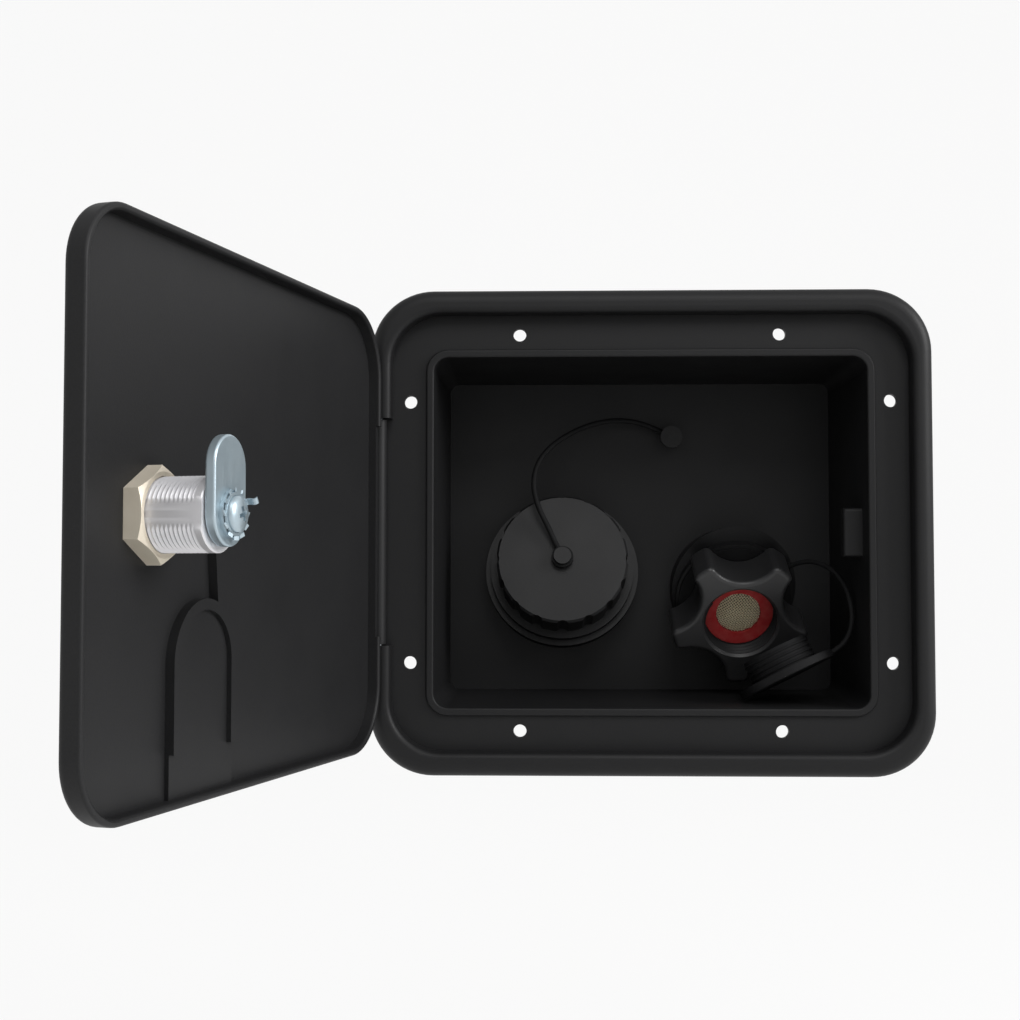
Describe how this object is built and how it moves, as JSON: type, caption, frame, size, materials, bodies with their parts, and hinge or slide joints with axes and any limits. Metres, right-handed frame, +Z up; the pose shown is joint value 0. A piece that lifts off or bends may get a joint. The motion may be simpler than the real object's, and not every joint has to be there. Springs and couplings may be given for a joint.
{
  "type": "rv water inlet hatch",
  "caption": "Lockable wall hatch for a caravan: hinged door with cam lock over a moulded box that holds a capped gravity fill neck and a swivel pressure inlet with a tethered plug.",
  "frame": {"origin": "on the flange's back face, at the centre of the opening", "axes": "+X to the right as seen from outside, +Y into the wall, +Z up"},
  "size_m": [0.2425, 0.2808, 0.168],
  "materials": {
    "housing_plastic": "moulded satin",
    "door_plastic": "moulded satin",
    "fitting_plastic": "moulded satin",
    "tether_plastic": "matt",
    "red_rubber": "matt",
    "strainer_mesh": "woven mesh",
    "lock_zinc": "zinc plated",
    "lock_nickel": "nickel plated",
    "pin_steel": "drawn wire"
  },
  "bodies": {
    "housing": {"housing": "housing_plastic", "hinge_pin": "pin_steel", "fill_neck": "fitting_plastic", "cap_tether": "tether_plastic", "tether_eye": "tether_plastic", "tether_anchor": "fitting_plastic", "inlet_body": "fitting_plastic", "plug_ring": "tether_plastic", "plug_tether": "tether_plastic", "inlet_plug": "tether_plastic"},
    "door": {"door_panel": "door_plastic", "lock_barrel": "lock_zinc", "lock_nut": "lock_nickel"},
    "lock": {"lock_plug": "lock_zinc", "lock_cam": "lock_zinc", "cam_washer": "lock_zinc", "cam_screw": "lock_zinc"},
    "cap": {"fill_cap": "fitting_plastic"},
    "swivel": {"inlet_swivel": "fitting_plastic", "inlet_washer": "red_rubber", "inlet_screen": "strainer_mesh"}
  },
  "joints": [
    {"name": "door_swing", "type": "hinge", "parent": "housing", "child": "door", "pos_m": [-0.094, -0.006, 0], "axis": [0, 0, 1], "range_deg": [0, 105.5]},
    {"name": "cam_turn", "type": "hinge", "parent": "door", "child": "lock", "pos_m": [-0.13368, -0.1491, 0], "axis": [0.9636, -0.2672, 0], "range_deg": [0, 90]},
    {"name": "cap_turn", "type": "hinge", "parent": "housing", "child": "cap", "pos_m": [-0.0302, 0.0505, -0.0146], "axis": [0, -0.9659, 0.2588], "range_deg": [0, 360]},
    {"name": "swivel_turn", "type": "hinge", "parent": "housing", "child": "swivel", "pos_m": [0.035, 0.04691, -0.02208], "axis": [0, -0.891, -0.454], "continuous": true}
  ]
}
